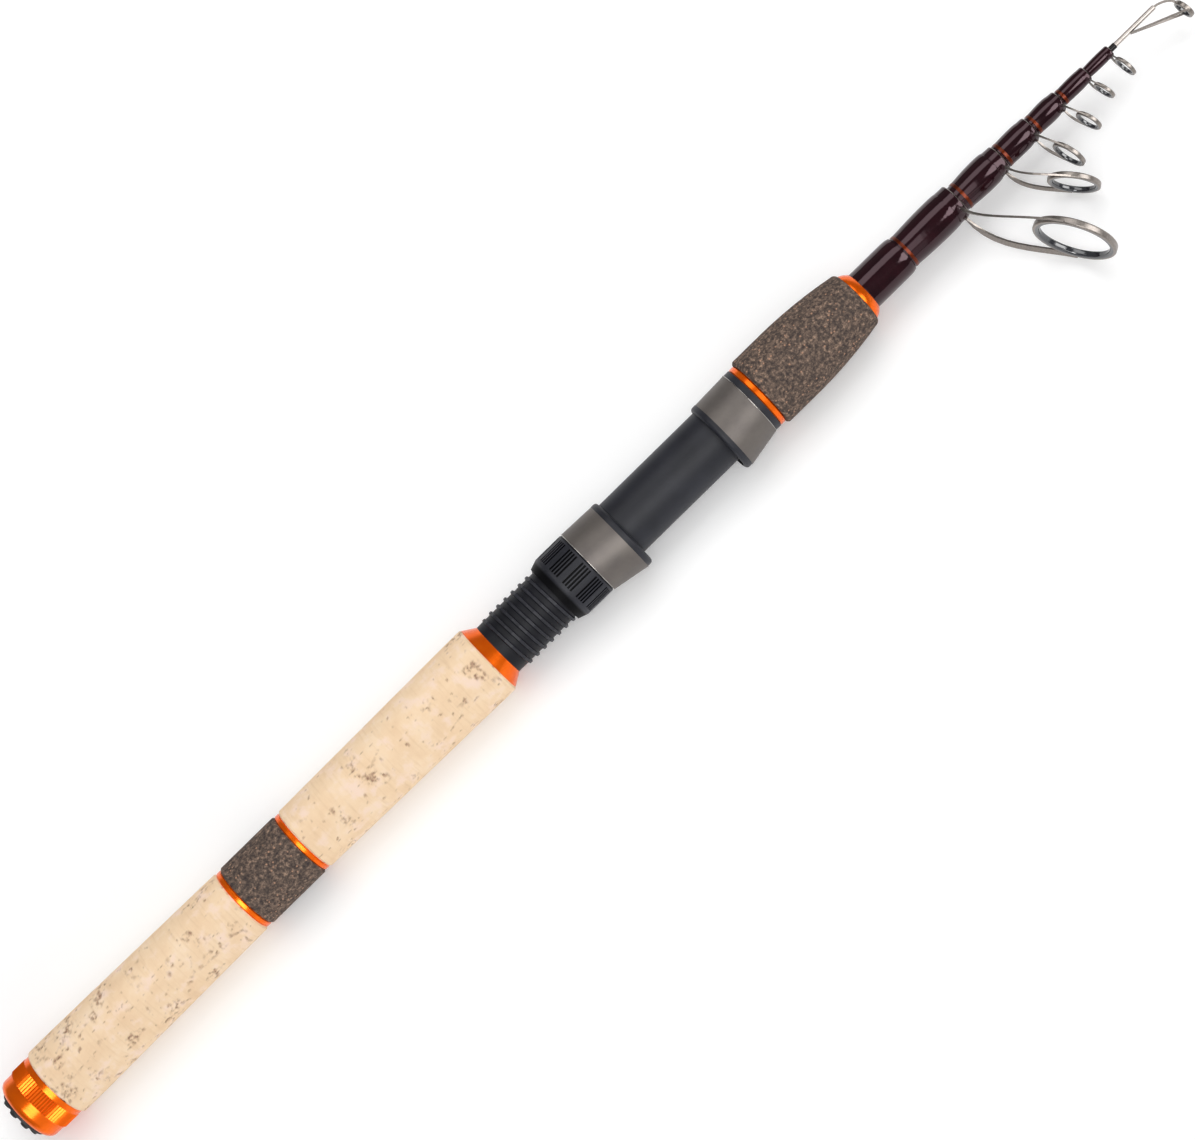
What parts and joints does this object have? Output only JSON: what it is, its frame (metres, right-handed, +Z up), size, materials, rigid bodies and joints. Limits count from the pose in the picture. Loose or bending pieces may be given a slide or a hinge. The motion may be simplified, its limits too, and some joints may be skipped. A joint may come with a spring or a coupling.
{
  "type": "telescopic fishing rod",
  "caption": "Collapsed telescopic fishing rod: cork handle with screw cap, reel seat with screwed hood, and tapered sections that slide out of each other, each with a ringed line guide.",
  "frame": {"origin": "on the rod's axis, at the flat end of the rubber butt button", "axes": "+X along the rod from butt to tip, +Z up, the guides and the reel foot on the -Y side"},
  "size_m": [0.5154, 0.0637, 0.0309],
  "materials": {
    "cork": "sanded natural cork",
    "composite_cork": "sanded rubber cork",
    "orange_anodised": "anodised gloss",
    "black_nylon": "moulded matte",
    "gunmetal": "satin anodised",
    "bare_aluminium": "machined",
    "black_rubber": "moulded",
    "foam": "closed-cell foam",
    "lacquered_blank": "clear lacquer",
    "lacquered_whipping": "thread under gloss lacquer",
    "orange_thread": "metallic thread under lacquer",
    "guide_steel": "satin",
    "ceramic": "polished ceramic",
    "tip_steel": "bright drawn tube"
  },
  "bodies": {
    "handle": {"butt_tube": "lacquered_blank", "section_1_whipping": "lacquered_whipping", "butt_ferrule": "bare_aluminium", "rear_cork_grip": "cork", "rear_trim_ring": "orange_anodised", "grip_spacer": "composite_cork", "middle_trim_ring": "orange_anodised", "main_cork_grip": "cork", "grip_collar": "orange_anodised", "reel_seat_body": "black_nylon", "fixed_hood_sleeve": "gunmetal", "reel_seat_arbor": "foam", "fore_trim_ring": "orange_anodised", "foregrip": "composite_cork", "winding_check": "orange_anodised"},
    "butt_seal": {"butt_seal": "black_rubber"},
    "butt_cap": {"butt_cap": "orange_anodised", "butt_button": "black_rubber", "butt_pad": "foam"},
    "moving_hood": {"moving_hood": "black_nylon", "moving_hood_sleeve": "gunmetal"},
    "hood_nut": {"hood_nut": "black_nylon"},
    "section_2": {"section_2_tube": "lacquered_blank", "section_2_whipping": "lacquered_whipping", "section_2_trim_ring": "orange_thread", "guide_2_frame": "guide_steel", "guide_2_insert": "ceramic"},
    "section_3": {"section_3_tube": "lacquered_blank", "section_3_whipping": "lacquered_whipping", "section_3_trim_ring": "orange_thread", "guide_3_frame": "guide_steel", "guide_3_insert": "ceramic"},
    "section_4": {"section_4_tube": "lacquered_blank", "section_4_whipping": "lacquered_whipping", "section_4_trim_ring": "orange_thread", "guide_4_frame": "guide_steel", "guide_4_insert": "ceramic"},
    "section_5": {"section_5_tube": "lacquered_blank", "section_5_whipping": "lacquered_whipping", "section_5_trim_ring": "orange_thread", "guide_5_frame": "guide_steel", "guide_5_insert": "ceramic"},
    "section_6": {"section_6_tube": "lacquered_blank", "section_6_whipping": "lacquered_whipping", "section_6_trim_ring": "orange_thread", "guide_6_frame": "guide_steel", "guide_6_insert": "ceramic"},
    "section_7": {"section_7_tube": "lacquered_blank", "section_7_whipping": "lacquered_whipping", "guide_7_frame": "guide_steel", "guide_7_insert": "ceramic"},
    "section_8": {"tip_rod": "lacquered_blank", "tip_top_tube": "tip_steel", "tip_top_frame": "guide_steel", "tip_top_insert": "ceramic"}
  },
  "joints": [
    {"name": "butt_seal_slide", "type": "slide", "parent": "handle", "child": "butt_seal", "axis": [-1, 0, 0], "range_m": [0, 0.009]},
    {"name": "butt_cap_turn", "type": "hinge", "parent": "butt_seal", "child": "butt_cap", "pos_m": [0, 0, 0], "axis": [-1, 0, 0], "range_deg": [0, 2160]},
    {"name": "moving_hood_slide", "type": "slide", "parent": "handle", "child": "moving_hood", "axis": [1, 0, 0], "range_m": [-0.024, 0.012]},
    {"name": "hood_nut_turn", "type": "hinge", "parent": "moving_hood", "child": "hood_nut", "pos_m": [0.24, 0, 0], "axis": [1, 0, 0], "range_deg": [-2700, 1350]},
    {"name": "section_2_slide", "type": "slide", "parent": "handle", "child": "section_2", "axis": [1, 0, 0], "range_m": [0, 0.3094]},
    {"name": "section_3_slide", "type": "slide", "parent": "section_2", "child": "section_3", "axis": [1, 0, 0], "range_m": [0, 0.3338]},
    {"name": "section_4_slide", "type": "slide", "parent": "section_3", "child": "section_4", "axis": [1, 0, 0], "range_m": [0, 0.3533]},
    {"name": "section_5_slide", "type": "slide", "parent": "section_4", "child": "section_5", "axis": [1, 0, 0], "range_m": [0, 0.3671]},
    {"name": "section_6_slide", "type": "slide", "parent": "section_5", "child": "section_6", "axis": [1, 0, 0], "range_m": [0, 0.3799]},
    {"name": "section_7_slide", "type": "slide", "parent": "section_6", "child": "section_7", "axis": [1, 0, 0], "range_m": [0, 0.392]},
    {"name": "section_8_slide", "type": "slide", "parent": "section_7", "child": "section_8", "axis": [1, 0, 0], "range_m": [0, 0.4025]}
  ],
  "couplings": [
    {"joint": "butt_seal_slide", "follows": "butt_cap_turn", "m_per_rad": 0.00023873},
    {"joint": "moving_hood_slide", "follows": "hood_nut_turn", "m_per_rad": 0.00050929}
  ]
}
